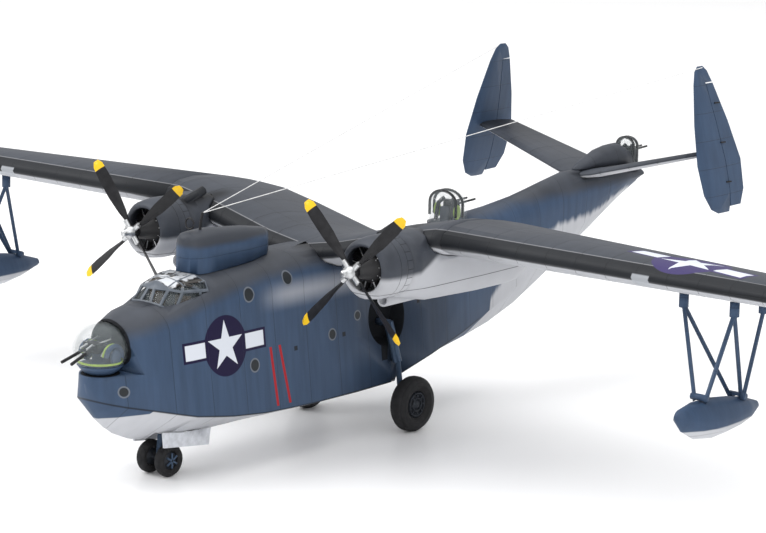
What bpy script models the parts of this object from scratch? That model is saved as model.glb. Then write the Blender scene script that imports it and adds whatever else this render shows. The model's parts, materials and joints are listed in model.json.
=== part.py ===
"""A twin-engined amphibious flying boat as a built plastic scale model, at the model's own size.

Blender units are metres. +X is the model's port (left) side, +Y runs aft, +Z is up, and Z = 0 is
the shelf that the wheels stand on. The tables below are in millimetres: X out from the centre
line, Y aft of the bow datum, Z up from the shelf. place() turns them into Blender's metres.
"""
import math

import bmesh
import bpy
from mathutils import Matrix, Vector

MM = 0.001
GAP = 0.3  # between pieces that rest on each other
MIDDLE_Y = 165.3  # half way along, which comes to lie on Y = 0
PORT, STARBOARD = 1, -1
SIDES = {"left": PORT, "right": STARBOARD}

# Hull sections: station, keel height, chine, top of the side, crown, and how square the crown is.
HULL_COLUMNS = ("y", "keel", "chine_z", "chine_x", "side_x", "side_z", "top", "power")
HULL_SECTIONS = [
    (4.6, 38.5, 39.0, 0.8, 1.2, 41.0, 45.0, 2.0),
    (5.4, 34.0, 34.3, 3.2, 3.4, 38.0, 47.0, 2.0),
    (7.0, 29.5, 32.8, 6.4, 5.9, 38.0, 50.0, 2.0),
    (9.5, 25.4, 31.6, 8.9, 7.7, 40.0, 54.0, 2.0),
    (13.5, 22.0, 30.6, 10.9, 8.8, 44.0, 59.1, 2.0),
    (18.0, 18.9, 29.7, 13.0, 10.6, 48.0, 60.0, 2.0),
    (25.0, 15.9, 27.9, 16.0, 13.0, 52.0, 61.9, 2.0),
    (33.0, 14.0, 25.8, 18.2, 14.2, 54.0, 62.9, 2.0),
    (40.0, 13.0, 24.1, 19.3, 14.8, 55.0, 66.0, 2.2),
    (52.0, 12.5, 22.0, 19.9, 15.1, 57.0, 70.0, 2.5),
    (58.0, 12.4, 21.2, 20.0, 15.2, 57.5, 70.5, 2.5),
    (75.0, 12.4, 19.4, 20.0, 15.3, 58.0, 71.1, 2.5),
    (100.0, 12.4, 18.4, 20.0, 15.4, 58.5, 72.7, 2.5),
    (125.0, 12.4, 18.3, 20.0, 15.4, 58.5, 72.8, 2.5),
    (149.0, 12.4, 18.6, 19.6, 15.2, 58.5, 71.4, 2.5),
    (150.0, 16.0, 20.6, 19.4, 15.1, 58.5, 71.3, 2.5),
    (172.0, 17.2, 24.0, 16.6, 13.2, 58.0, 67.8, 2.3),
    (196.0, 19.4, 28.6, 13.5, 11.2, 58.5, 68.9, 2.3),
    (213.0, 22.4, 33.0, 11.2, 9.8, 60.0, 71.4, 2.2),
    (228.0, 25.6, 37.5, 9.9, 8.8, 61.5, 72.4, 2.2),
    (245.0, 31.0, 43.6, 8.4, 7.8, 63.5, 74.5, 2.1),
    (265.0, 40.0, 51.4, 6.8, 6.9, 66.0, 78.3, 2.0),
    (277.0, 46.6, 55.4, 5.8, 6.4, 68.0, 80.4, 2.0),
    (295.0, 55.0, 62.0, 4.6, 5.8, 71.0, 80.2, 2.0),
    (315.0, 65.0, 68.4, 2.9, 5.4, 73.0, 78.6, 2.0),
    (328.5, 70.6, 72.0, 1.8, 5.0, 74.2, 76.6, 2.0),
]
KEEL_HALF_WIDTH = 0.7
SIDE_POINTS = 2
CROWN_POINTS = 7

# Wing sections: distance from the centre line, leading edge, chord, height and thickness share.
WING_COLUMNS = ("x", "lead", "chord", "z", "thick")
CENTRE_WING_SECTIONS = [
    (0.0, 111.5, 64.0, 67.8, 0.19),
    (17.0, 111.5, 64.0, 70.8, 0.19),
    (44.0, 111.0, 64.0, 77.6, 0.195),
    (61.0, 111.6, 63.4, 81.2, 0.2),
    (66.0, 112.0, 62.8, 81.6, 0.2),
]
OUTER_WING_SECTIONS = [
    (66.3, 112.0, 62.8, 81.6, 0.2),
    (100.0, 111.7, 58.0, 81.6, 0.198),
    (160.0, 111.1, 49.4, 81.6, 0.194),
    (215.0, 110.5, 41.5, 81.6, 0.19),
    (238.0, 113.0, 35.0, 81.6, 0.17),
    (246.5, 117.0, 26.0, 81.6, 0.14),
    (250.0, 124.0, 13.0, 81.6, 0.12),
]
WING_TWIST = math.radians(3.0)
WING_POINTS = 9
EDGE_THICKNESS = 0.35
CAMBER = 0.12  # how much of the thickness goes from below the chord to above it

# The V tailplane, as the wing's tables, and the twin fins.
TAILPLANE_SECTIONS = [
    (0.0, 284.0, 33.0, 77.6, 0.11),
    (8.0, 284.5, 32.0, 79.0, 0.11),
    (54.9, 292.5, 22.5, 91.8, 0.10),
]
FIN_CANT = math.radians(13.0)
FIN_ROOT_X, FIN_ROOT_Z = 57.0, 92.0  # where the tailplane meets the fin
# Fin outline: height along the fin from that point, leading edge, trailing edge.
FIN_COLUMNS = ("up", "lead", "trail")
FIN_SECTIONS = [
    (-24.0, 297.0, 309.0),
    (-22.0, 292.6, 313.8),
    (-16.0, 289.0, 317.6),
    (-4.0, 287.4, 318.6),
    (12.0, 289.4, 313.4),
    (28.0, 293.0, 306.6),
    (33.2, 295.0, 303.8),
    (35.2, 297.4, 301.2),
]
FIN_THICKNESS = 2.4
FIN_FULL_CHORD = 26.0  # a shorter slice is thinner in proportion
FIN_PROFILE = [(0.0, 0.12), (0.06, 0.6), (0.25, 1.0), (0.6, 0.75), (1.0, 0.14)]  # share, thickness
RUDDER_HINGE = 0.62  # share of the chord where the rudder starts
RUDDER_BOTTOM, RUDDER_TOP = -22.0, 28.0
TAIL_SLOT = (-1.5, 306.0, 77.9), (1.5, 317.6, 82.0)  # the crown stops where the tailplane crosses it
FAIRING_COLUMNS = ("y", "half", "foot", "top")
FAIRING_SECTIONS = [
    (284.0, 0.8, 80.3, 80.9),
    (290.0, 3.4, 80.3, 83.6),
    (300.0, 5.4, 80.3, 87.0),
    (308.0, 6.1, 80.3, 88.2),
    (313.4, 6.2, 80.3, 88.4),
    (318.4, 6.1, 79.6, 86.4),
]

# Engines, nacelles and propellers.
ENGINE_X, ENGINE_Z = 52.4, 73.9
PROPELLER_Y, PROPELLER_RADIUS, BLADES = 81.4, 30.8, 4
BLADE_ANGLE = {"left": math.radians(46), "right": math.radians(51)}
# Nacelle sections: station, half width, depth below and above the engine's axis, squareness.
NACELLE_COLUMNS = ("y", "half", "below", "above", "power")
NACELLE_SECTIONS = [
    (101.6, 11.2, 11.2, 11.2, 2.0),
    (107.0, 10.9, 12.8, 11.3, 2.2),
    (112.0, 10.5, 13.9, 11.2, 2.6),
    (116.0, 10.2, 14.7, 11.0, 2.9),
    (145.0, 9.8, 15.6, 6.0, 3.0),
    (165.0, 9.0, 15.7, 2.4, 3.0),
    (172.0, 7.6, 15.4, 1.6, 2.8),
    (183.0, 1.4, 11.9, -5.9, 2.0),
]
NACELLE_POINTS = 20
# Cowling: radius against distance behind the propeller.
COWLING_PROFILE = [
    (10.4, 19.7), (11.2, 19.7), (11.3, 12.6), (10.6, 7.0), (9.4, 5.4), (8.6, 5.1), (8.0, 5.8),
    (8.6, 7.6), (10.2, 10.6),
]
# Blade stations: radius, chord, thickness, pitch in degrees.
BLADE_COLUMNS = ("radius", "chord", "thick", "pitch")
BLADE_SECTIONS = [
    (1.2, 1.3, 1.3, 60),
    (5.0, 1.5, 1.3, 55),
    (9.0, 3.0, 1.0, 46),
    (16.0, 4.4, 0.8, 34),
    (24.0, 4.6, 0.6, 26),
    (29.0, 4.0, 0.5, 23),
    (PROPELLER_RADIUS, 2.0, 0.4, 22),
]
CYLINDERS = 9

# Wheels and legs.
MAIN_WHEEL_X, MAIN_WHEEL_Y, MAIN_WHEEL_RADIUS, MAIN_TYRE_WIDTH, MAIN_BORE = 25.6, 150.0, 10.4, 7.0, 5.2
NOSE_WHEEL_X, NOSE_WHEEL_Y, NOSE_WHEEL_RADIUS, NOSE_TYRE_WIDTH, NOSE_BORE = 4.3, 41.0, 5.9, 3.9, 3.3
WHEEL_WELL_Y, WHEEL_WELL_Z, WHEEL_WELL_RADIUS, WHEEL_WELL_FLOOR = 144.5, 43.0, 10.8, 11.5
NOSE_WELL_LOW, NOSE_WELL_HIGH = (-5.6, 33.0, 5.0), (5.6, 56.0, 26.0)
DOOR_INNER_X, DOOR_OUTER_X = 6.8, 7.5
DOOR_CORNERS = [(34.5, 20.5), (59.5, 17.0), (58.2, 8.8), (35.5, 11.7)]  # Y, Z

# Turrets.
BOW_TURRET_Y, BOW_TURRET_Z, BOW_TURRET_RADIUS = 11.6, 49.6, 9.5
BOW_RING_LOW, BOW_RING_HIGH = 41.6, 44.5
BOW_OPENING = [(-6.0, 41.3), (20.4, 41.3), (17.0, 50.0), (12.9, 59.1), (11.6, 62.0), (-6.0, 62.0)]  # Y, Z
BOW_BREECH, BOW_MUZZLE = (1.1, 7.6, 51.0), (2.3, -4.4, 47.3)  # the port barrel's two ends
TOP_TURRET_Y, TOP_TURRET_Z, TOP_TURRET_RADIUS, TOP_TURRET_TOP = 201.0, 68.0, 7.7, 82.6
TAIL_TURRET_Y, TAIL_TURRET_Z, TAIL_TURRET_RADIUS, TAIL_TURRET_TOP = 322.8, 76.3, 5.2, 90.5
TOP_GUN_REACH, TAIL_GUN_REACH = 14.9, 12.2  # from the turret's axis to the muzzles
TURRET_RING = 0.4  # how much wider than its turret the seat in the hull is
GLAZING = 0.7

# The cockpit glazing's corners on the port side, named from the windscreen aft.
CANOPY_CORNERS = {
    "screen_foot_inner": (2.4, 33.2, 62.8),
    "screen_foot_outer": (6.8, 33.5, 62.3),
    "screen_top_inner": (1.4, 36.3, 67.4),
    "screen_top_outer": (6.0, 38.5, 67.2),
    "quarter_foot": (10.3, 37.2, 60.1),
    "quarter_top": (10.0, 41.6, 66.4),
    "side_foot": (13.2, 48.2, 59.2),
    "side_top": (11.3, 48.6, 66.0),
    "rear_foot": (14.5, 52.0, 58.6),
    "rear_top": (12.3, 52.0, 66.0),
    "roof_front": (0.5, 38.3, 69.3),
    "roof_middle": (7.0, 44.0, 69.0),
    "roof_rear": (10.8, 52.0, 69.0),
    "crown_middle": (0.5, 44.5, 70.1),
    "crown_rear": (6.0, 52.0, 70.6),
}
# Each pane by its corners, in order round the pane. "-" marks a corner of the starboard side.
CANOPY_PANES = [
    ("screen_foot_inner", "screen_foot_outer", "screen_top_outer", "screen_top_inner"),
    ("screen_foot_outer", "quarter_foot", "quarter_top", "screen_top_outer"),
    ("quarter_foot", "side_foot", "side_top", "quarter_top"),
    ("side_foot", "rear_foot", "rear_top", "side_top"),
    ("screen_top_outer", "quarter_top", "roof_middle"),
    ("quarter_top", "side_top", "roof_middle"),
    ("side_top", "rear_top", "roof_rear", "roof_middle"),
]
CANOPY_FOOT = 2.0  # how deep the frame stands in the hull
FRAME_BAR = 0.55  # half the width of a glazing bar
FRAME_WALL, GLASS_WALL = 0.6, 0.5
CABIN_LOW, CABIN_HIGH = (-11.0, 37.0, 50.0), (11.0, 51.4, 61.0)

# Radar housing sections: station, half width, top.
RADOME_COLUMNS = ("y", "half", "top")
RADOME_SECTIONS = [
    (51.4, 1.4, 82.4),
    (52.2, 3.4, 83.6),
    (54.4, 5.4, 84.2),
    (58.0, 6.3, 84.4),
    (65.0, 6.4, 84.6),
    (81.4, 6.0, 83.3),
    (91.0, 4.4, 81.8),
    (95.2, 1.4, 80.8),
]
RADOME_FOOT = 66.0

# Floats and their struts.
FLOAT_X = 174.0
FLOAT_COLUMNS = ("y", "keel", "chine", "half", "top")
FLOAT_SECTIONS = [
    (101.0, 39.3, 40.1, 0.6, 40.9),
    (104.6, 34.8, 38.1, 3.2, 42.5),
    (111.9, 31.0, 35.4, 5.4, 43.5),
    (122.8, 29.4, 33.6, 6.3, 43.3),
    (131.9, 29.8, 33.4, 5.9, 42.1),
    (140.9, 31.6, 34.2, 4.4, 40.3),
    (150.0, 34.7, 35.7, 1.4, 37.5),
]
STRUT_RADIUS = 0.75
STRUT_TOPS = {"inner": (162.0, 121.5, 72.2), "outer": (183.0, 119.6, 72.4), "rear": (188.0, 129.4, 72.9)}
STRUT_FEET = {"front": (115.0, 43.6), "back": (138.5, 40.2)}  # station and height
STRUTS = [  # top, foot, how far the foot stands out from the float's centre
    ("inner", "front", -1.6),
    ("inner", "back", -1.6),
    ("outer", "front", 1.6),
    ("outer", "back", 1.6),
    ("rear", "back", 1.6),
]

COLOURS = {  # red, green, blue, roughness, metallic
    "sea_blue": (0.10, 0.16, 0.27, 0.5, 0.0),
    "deck_grey": (0.06, 0.07, 0.08, 0.55, 0.0),
    "belly_white": (0.62, 0.64, 0.68, 0.5, 0.0),
    "black": (0.01, 0.01, 0.012, 0.5, 0.0),
    "rubber": (0.012, 0.012, 0.013, 0.8, 0.0),
    "metal": (0.6, 0.6, 0.6, 0.35, 1.0),
    "clear": (0.9, 0.93, 0.95, 0.05, 0.0),
    "cabin_brown": (0.10, 0.07, 0.04, 0.7, 0.0),
}


# Helpers


def material(name):
    found = bpy.data.materials.get(name)
    if found:
        return found
    made = bpy.data.materials.new(name)
    made.use_nodes = True
    shader = made.node_tree.nodes["Principled BSDF"]
    red, green, blue, roughness, metallic = COLOURS[name]
    shader.inputs["Base Color"].default_value = (red, green, blue, 1.0)
    shader.inputs["Roughness"].default_value = roughness
    shader.inputs["Metallic"].default_value = metallic
    return made


def clear_scene():
    for old in list(bpy.data.objects):
        bpy.data.objects.remove(old, do_unlink=True)


def collection(name):
    made = bpy.data.collections.new(name)
    bpy.context.scene.collection.children.link(made)
    return made


def place(x, y, z):
    """A point of the tables, in Blender's metres."""
    return Vector((x * MM, (y - MIDDLE_Y) * MM, z * MM))


def table_rows(columns, rows):
    return [dict(zip(columns, row)) for row in rows]


def add_object(name, mesh, finish, smooth=True):
    obj = bpy.data.objects.new(name, mesh)
    parts.objects.link(obj)
    if finish:
        mesh.materials.append(material(finish))
    if smooth:
        mesh.shade_smooth()
        mesh.set_sharp_from_angle(angle=math.radians(35))
    return obj


def mesh_from(bm, name):
    bmesh.ops.recalc_face_normals(bm, faces=bm.faces)
    mesh = bpy.data.meshes.new(name)
    bm.to_mesh(mesh)
    bm.free()
    return mesh


def loft(name, rings, finish=None):
    """A closed solid through rings of equally many points, capped at both ends."""
    bm = bmesh.new()
    made = [[bm.verts.new(point) for point in ring] for ring in rings]
    for ring, following in zip(made, made[1:]):
        for i, corner in enumerate(ring):
            j = (i + 1) % len(ring)
            bm.faces.new((corner, ring[j], following[j], following[i]))
    bm.faces.new(made[0])
    bm.faces.new(made[-1])
    return add_object(name, mesh_from(bm, name), finish)


def wrapped(name, points, finish=None):
    """The tight skin round a set of corner points."""
    bm = bmesh.new()
    for point in points:
        bm.verts.new(point)
    found = bmesh.ops.convex_hull(bm, input=bm.verts)
    inside = {item for item in found["geom_interior"] + found["geom_unused"]}
    bmesh.ops.delete(bm, geom=[v for v in bm.verts if v in inside], context="VERTS")
    return add_object(name, mesh_from(bm, name), finish, smooth=False)


def cylinder(name, start, end, radius, finish=None, end_radius=None, sides=16):
    """A round bar, or a cone, between two points of the tables."""
    start, end = place(*start), place(*end)
    along = end - start
    turn = along.to_track_quat("Z", "Y").to_matrix().to_4x4()
    bm = bmesh.new()
    bmesh.ops.create_cone(
        bm,
        cap_ends=True,
        segments=sides,
        radius1=radius * MM,
        radius2=(radius if end_radius is None else end_radius) * MM,
        depth=along.length,
        matrix=Matrix.Translation((start + end) / 2) @ turn,
    )
    return add_object(name, mesh_from(bm, name), finish)


def box(name, low, high, finish=None):
    """A block between two corners of the tables."""
    low, high = place(*low), place(*high)
    size = Matrix.Diagonal((*(high - low), 1.0))
    bm = bmesh.new()
    bmesh.ops.create_cube(bm, size=1.0, matrix=Matrix.Translation((low + high) / 2) @ size)
    return add_object(name, mesh_from(bm, name), finish, smooth=False)


def side_box(name, side, low, high, finish=None):
    """A block given for the port side, on either side."""
    if side == STARBOARD:
        low, high = (-high[0], low[1], low[2]), (-low[0], high[1], high[2])
    return box(name, low, high, finish)


def ball(name, centre, radius, finish=None, across=28, down=16):
    bm = bmesh.new()
    where = Matrix.Translation(place(*centre))
    bmesh.ops.create_uvsphere(bm, u_segments=across, v_segments=down, radius=radius * MM, matrix=where)
    return add_object(name, mesh_from(bm, name), finish)


def turned(name, profile, centre, axis, finish, steps=24):
    """A turned shape: profile lists (radius, distance along the axis) round its outline."""
    following = profile[1:] + profile[:1]
    area = sum(r0 * a1 - r1 * a0 for (r0, a0), (r1, a1) in zip(profile, following))
    outline = list(reversed(profile)) if area > 0 else list(profile)
    mesh = bpy.data.meshes.new(name)
    points = [(radius * MM, 0, along * MM) for radius, along in outline]
    edges = [(i, i + 1) for i in range(len(points) - 1)]
    if profile[0][0] > 0 or profile[-1][0] > 0:
        edges.append((len(points) - 1, 0))
    mesh.from_pydata(points, edges, [])
    obj = add_object(name, mesh, finish, smooth=False)
    screw = obj.modifiers.new("turned", "SCREW")
    screw.steps = screw.render_steps = steps
    screw.use_merge_vertices = True
    screw.merge_threshold = 0.00001
    turn = Vector(axis).to_track_quat("Z", "Y").to_matrix().to_4x4()
    obj.matrix_world = Matrix.Translation(place(*centre)) @ turn
    return bake(obj)


def bake(obj):
    """Applies every modifier and the object's place to its mesh."""
    bpy.context.view_layer.update()
    graph = bpy.context.evaluated_depsgraph_get()
    mesh = bpy.data.meshes.new_from_object(obj.evaluated_get(graph))
    mesh.transform(obj.matrix_world)
    obj.modifiers.clear()
    obj.matrix_world = Matrix.Identity(4)
    old = obj.data
    obj.data = mesh
    if not mesh.materials and old.materials:
        mesh.materials.append(old.materials[0])
    return obj


def combine(target, other, operation):
    """Joins another object to the target, or cuts it away, and leaves the result applied."""
    change = target.modifiers.new(operation.lower(), "BOOLEAN")
    change.operation = operation
    change.object = other
    change.solver = "EXACT"
    bake(target)
    bpy.data.objects.remove(other, do_unlink=True)
    return target


def cut(target, *others):
    for other in others:
        combine(target, other, "DIFFERENCE")
    return target


def join(name, pieces):
    """One body from pieces that overlap."""
    first = bake(pieces[0])
    for other in pieces[1:]:
        combine(first, other, "UNION")
    first.name = name
    return first


def hang_on_axis(name, point, pieces):
    """An empty on the joint's axis, with the pieces that turn about it as its children."""
    at = place(*point)
    empty = bpy.data.objects.new(name, None)
    parts.objects.link(empty)
    empty.location = at
    for piece in pieces:
        piece.data.transform(Matrix.Translation(-at))
        piece.parent = empty


# Hull, cockpit and radar housing


def hull_ring(row, grow=0.0):
    """One hull section: keel, V bottom to the chine, a side leaning in, and a rounded crown."""
    chine_x, side_x = row["chine_x"] + grow, row["side_x"] + grow
    side_z, top = row["side_z"], row["top"] + grow
    half = [(KEEL_HALF_WIDTH, row["keel"] - grow), (chine_x, row["chine_z"])]
    for i in range(1, SIDE_POINTS + 1):
        share = i / SIDE_POINTS
        x = chine_x + (side_x - chine_x) * share
        half.append((x, row["chine_z"] + (side_z - row["chine_z"]) * share))
    for i in range(1, CROWN_POINTS):
        angle = i / CROWN_POINTS * math.pi / 2
        x = side_x * math.cos(angle) ** (2 / row["power"])
        half.append((x, side_z + (top - side_z) * math.sin(angle) ** (2 / row["power"])))
    half.append((0.0, top))
    whole = half + [(-x, z) for x, z in reversed(half[:-1])]
    return [place(x, row["y"], z) for x, z in whole]


def hull_solid(name, grow=0.0, finish=None):
    return loft(name, [hull_ring(row, grow) for row in table_rows(HULL_COLUMNS, HULL_SECTIONS)], finish)


def make_hull():
    """The hull, hollow under the canopy, with wells for the wheels and seats for the turrets."""
    hull = hull_solid("hull", finish="sea_blue")
    opening = [[place(half, y, z) for y, z in BOW_OPENING] for half in (30.0, -30.0)]
    cut(
        hull,
        wing_solid("wing cutter", CENTRE_WING_SECTIONS, (PORT, STARBOARD), grow=GAP),
        canopy_solid("canopy seat", grow=GAP, deeper=GAP),
        box("cabin cutter", CABIN_LOW, CABIN_HIGH),
        bow_ball("bow socket cutter", GAP),
        loft("bow opening cutter", opening),
        turret_seat(TOP_TURRET_Y, TOP_TURRET_Z, TOP_TURRET_RADIUS),
        turret_seat(TAIL_TURRET_Y, TAIL_TURRET_Z, TAIL_TURRET_RADIUS),
        tailplane_solid("tailplane cutter", GAP),
        box("tail slot cutter", *TAIL_SLOT),
        box("nose well cutter", NOSE_WELL_LOW, NOSE_WELL_HIGH),
    )
    for side in SIDES.values():
        well = [(side * x, WHEEL_WELL_Y, WHEEL_WELL_Z) for x in (WHEEL_WELL_FLOOR, 30.0)]
        cut(
            hull,
            cylinder("wheel well cutter", *well, WHEEL_WELL_RADIUS, sides=36),
            side_box("upper slot cutter", side, (16.5, 143.4, 26.0), (30.0, 150.0, 36.0)),
            side_box("lower slot cutter", side, (17.8, 144.6, 5.0), (30.0, 151.6, 28.0)),
        )


def turret_seat(y, z, radius):
    return cylinder("seat cutter", (0, y, z - GAP), (0, y, z + 20), radius + TURRET_RING, sides=32)


def bow_ball(name, grow, finish=None):
    centre = (0, BOW_TURRET_Y, BOW_TURRET_Z)
    return ball(name, centre, BOW_TURRET_RADIUS + grow, finish)


def canopy_corners(grow):
    """Both sides' corners, each moved out from the middle of the glazing."""
    middle = Vector((0, 45.0, 58.0))
    corners = {}
    for name, point in CANOPY_CORNERS.items():
        for prefix, side in (("", PORT), ("-", STARBOARD)):
            at = Vector((side * point[0], point[1], point[2]))
            corners[prefix + name] = at + (at - middle).normalized() * grow
    return corners


def canopy_solid(name, grow=0.0, deeper=0.0, finish=None):
    corners = list(canopy_corners(grow).values())
    feet = [p for p in corners if p.z < 64.0]
    corners += [Vector((p.x, p.y, 58.6 - CANOPY_FOOT - deeper)) for p in feet]
    return wrapped(name, [place(*p) for p in corners], finish)


def pane_cutter(corners):
    """A prism through one pane, short of its edges by the width of a glazing bar."""
    normal = (corners[1] - corners[0]).cross(corners[2] - corners[0]).normalized()
    inset = []
    for i, corner in enumerate(corners):
        before = (corners[i - 1] - corner).normalized()
        after = (corners[(i + 1) % len(corners)] - corner).normalized()
        spread = before.cross(after).length
        inset.append(corner + (before + after) * (FRAME_BAR / max(spread, 0.35)))
    near = [p + normal * 2.5 for p in inset]
    far = [p - normal * 2.5 for p in inset]
    return loft("pane cutter", [[place(*p) for p in near], [place(*p) for p in far]])


def make_canopy():
    """The glazing's frame with its windows cut, and the clear shell inside it."""
    frame = canopy_solid("canopy", finish="sea_blue")
    glass = canopy_solid("canopy_glass", -FRAME_WALL - GAP, finish="clear")
    inner_frame = canopy_solid("inner frame", -FRAME_WALL, 3.0)
    inner_glass = canopy_solid("inner glass", -FRAME_WALL - GAP - GLASS_WALL, 3.0)
    corners = canopy_corners(0.0)
    cut(frame, inner_frame)
    cut(glass, inner_glass)
    for pane in CANOPY_PANES:
        for prefix in ("", "-"):
            cut(frame, pane_cutter([corners[prefix + name] for name in pane]))
    middle_pane = ["screen_foot_inner", "screen_top_inner", "-screen_top_inner", "-screen_foot_inner"]
    cut(frame, pane_cutter([corners[name] for name in middle_pane]))
    for label, side in SIDES.items():
        seat = side_box(f"seat_{label}", side, (3.0, 40.0, 50.3), (9.0, 46.0, 56.0), "cabin_brown")
        rest = side_box("rest", side, (3.0, 45.0, 55.0), (9.0, 46.6, 64.0))
        combine(seat, rest, "UNION")


def make_radome():
    """The long radar housing on the hull, behind the canopy."""
    rings = []
    for row in table_rows(RADOME_COLUMNS, RADOME_SECTIONS):
        half, top = row["half"], row["top"]
        side = [(half, RADOME_FOOT), (half, top - 4.6), (half * 0.9, top - 2.2), (half * 0.62, top - 0.6)]
        whole = side + [(0.0, top)] + [(-x, z) for x, z in reversed(side)]
        rings.append([place(x, row["y"], z) for x, z in whole])
    radome = loft("radome", rings, "sea_blue")
    cut(radome, hull_solid("hull cutter", GAP), canopy_solid("canopy cutter", grow=GAP))


# Turrets


def make_bow_turret():
    dome = bow_ball("bow_turret_dome", 0.0, "clear")
    ring = bow_ball("bow_turret_base", 0.0, "sea_blue")
    slots = []
    for side in (PORT, STARBOARD):
        ends = [(side * x, y, z) for x, y, z in (BOW_BREECH, BOW_MUZZLE)]
        slots.append(cylinder("gun slot", *ends, 0.9, sides=12))
    below_dome = box("below", (-20, -20, 30), (20, 40, BOW_RING_HIGH + GAP))
    cut(dome, bow_ball("inside", -GLAZING), below_dome, *slots)
    cut(
        ring,
        box("above", (-20, -20, BOW_RING_HIGH), (20, 40, 70)),
        box("below", (-20, -20, 30), (20, 40, BOW_RING_LOW)),
    )
    post = box("post", (-3, BOW_TURRET_Y - 1, 44), (3, BOW_TURRET_Y + 4, 51))
    combine(ring, post, "UNION")
    pieces = [box("breech", (-3.2, BOW_TURRET_Y - 5.0, 49.2), (3.2, BOW_TURRET_Y - 1.3, 52.6), "black")]
    for side in (PORT, STARBOARD):
        ends = [(side * x, y, z) for x, y, z in (BOW_BREECH, BOW_MUZZLE)]
        pieces.append(cylinder("barrel", *ends, 0.55, sides=10))
    guns = join("bow_turret_guns", pieces)
    hang_on_axis("bow_turret", (0, BOW_TURRET_Y, BOW_TURRET_Z), [ring, dome, guns])


def make_drum_turret(name, y, z, radius, top, reach):
    """A glazed drum with a domed top on a low base, its guns pointing aft."""
    base = cylinder(f"{name}_base", (0, y, z), (0, y, z + 1.6), radius, "deck_grey", sides=28)
    combine(base, box("post", (-2.0, y - 2.0, z + 1), (2.0, y + 1.0, (z + top) / 2)), "UNION")
    rise = radius * 0.75
    outer, inner = [], []
    for i in range(7):
        angle = i / 6 * math.pi / 2
        for wall, arc in ((0.0, outer), (GLAZING, inner)):
            level = top - rise + (rise - wall) * math.sin(angle) - z
            arc.append((0.0 if i == 6 else (radius - wall) * math.cos(angle), level))
    outline = [(radius, 1.9)] + outer + inner[::-1] + [(radius - GLAZING, 1.9)]
    dome = turned(f"{name}_dome", outline, (0, y, z), (0, 0, 1), "clear", steps=28)
    mid = (z + top) / 2 + 0.8
    half, apart, aft = radius * 0.39, radius * 0.26, radius * 0.52
    pieces = [box("breech", (-half, y + 1.3, mid - 1.5), (half, y + aft, mid + 1.5), "black")]
    for side in (PORT, STARBOARD):
        ends = [(side * apart, y + 2.0, mid), (side * apart, y + reach, mid + 0.6)]
        pieces.append(cylinder("barrel", *ends, 0.45, sides=8))
    guns = join(f"{name}_guns", pieces)
    cut(dome, box("gun slot", (-half - 0.13, y + 1.07, mid - 0.93), (half + 0.17, y + radius + 4, mid + 1.71)))
    hang_on_axis(name, (0, y, z), [base, dome, guns])


# Wings and tail


def aerofoil(count):
    """A cambered wing section: (share along the chord, height share, upper +1 or lower -1)."""

    def thickness(s):
        return 5 * (0.2969 * math.sqrt(s) - 0.126 * s - 0.3516 * s * s + 0.2843 * s**3 - 0.1015 * s**4)

    shares = [(1 - math.cos(i / count * math.pi)) / 2 for i in range(count + 1)]
    upper = [(s, thickness(s) * (1 + CAMBER), 1) for s in reversed(shares[1:])]
    lower = [(s, -thickness(s) * (1 - CAMBER), -1) for s in shares[1:]]
    return upper + [(0.0, 0.0, 0)] + lower


def wing_ring(row, side, grow, twist):
    ring = []
    for share, height, which in aerofoil(WING_POINTS):
        z = row["z"] + height * row["thick"] * row["chord"]
        z += which * (grow + EDGE_THICKNESS / 2 * share) - share * row["chord"] * math.tan(twist)
        y = row["lead"] - grow + share * (row["chord"] + 2 * grow)
        ring.append(place(side * row["x"], y, z))
    return ring


def wing_solid(name, sections, sides, grow=0.0, finish=None, twist=WING_TWIST):
    """A wing through the table's sections, on one side or right across the centre line."""
    rows = table_rows(WING_COLUMNS, sections)
    rings = []
    if len(sides) == 2:
        rings += [wing_ring(row, STARBOARD, grow, twist) for row in reversed(rows[1:])]
    rings += [wing_ring(row, sides[0], grow, twist) for row in rows]
    return loft(name, rings, finish)


def tailplane_solid(name, grow=0.0, finish=None):
    return wing_solid(name, TAILPLANE_SECTIONS, (PORT, STARBOARD), grow, finish, twist=0.0)


def make_wings():
    wing_solid("wing_centre_section", CENTRE_WING_SECTIONS, (PORT, STARBOARD), finish="deck_grey")
    for label, side in SIDES.items():
        wing_solid(f"wing_outer_{label}", OUTER_WING_SECTIONS, (side,), finish="deck_grey")


def fin_at(up):
    """The fin's outline at any height, from its table."""
    for before, after in zip(FIN_SECTIONS, FIN_SECTIONS[1:]):
        if up <= after[0]:
            share = (up - before[0]) / (after[0] - before[0])
            mixed = [a + (b - a) * share for a, b in zip(before, after)]
            return dict(zip(FIN_COLUMNS, mixed))
    return dict(zip(FIN_COLUMNS, FIN_SECTIONS[-1]))


def fin_point(side, up, out, y):
    """A point in the fin's own leaning plane, or out from it."""
    x = FIN_ROOT_X - up * math.sin(FIN_CANT) + out * math.cos(FIN_CANT)
    z = FIN_ROOT_Z + up * math.cos(FIN_CANT) + out * math.sin(FIN_CANT)
    return place(side * x, y, z)


def fin_ring(row, side, first):
    """A slice across the fin, from a share of its chord to the trailing edge."""
    chord = row["trail"] - row["lead"]
    half = FIN_THICKNESS / 2 * min(1.0, chord / FIN_FULL_CHORD)
    shares = [share for share, _ in FIN_PROFILE]
    slice_points = []
    for share in [first] + [s for s in shares if s > first]:
        after = next(i for i, s in enumerate(shares) if share <= s)
        before = max(after - 1, 0)
        (s0, t0), (s1, t1) = FIN_PROFILE[before], FIN_PROFILE[after]
        thick = t1 if s1 == s0 else t0 + (t1 - t0) * (share - s0) / (s1 - s0)
        slice_points.append((row["lead"] + share * chord, half * thick))
    whole = slice_points + [(y, -t) for y, t in reversed(slice_points)]
    return [fin_point(side, row["up"], t, y) for y, t in whole]


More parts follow.
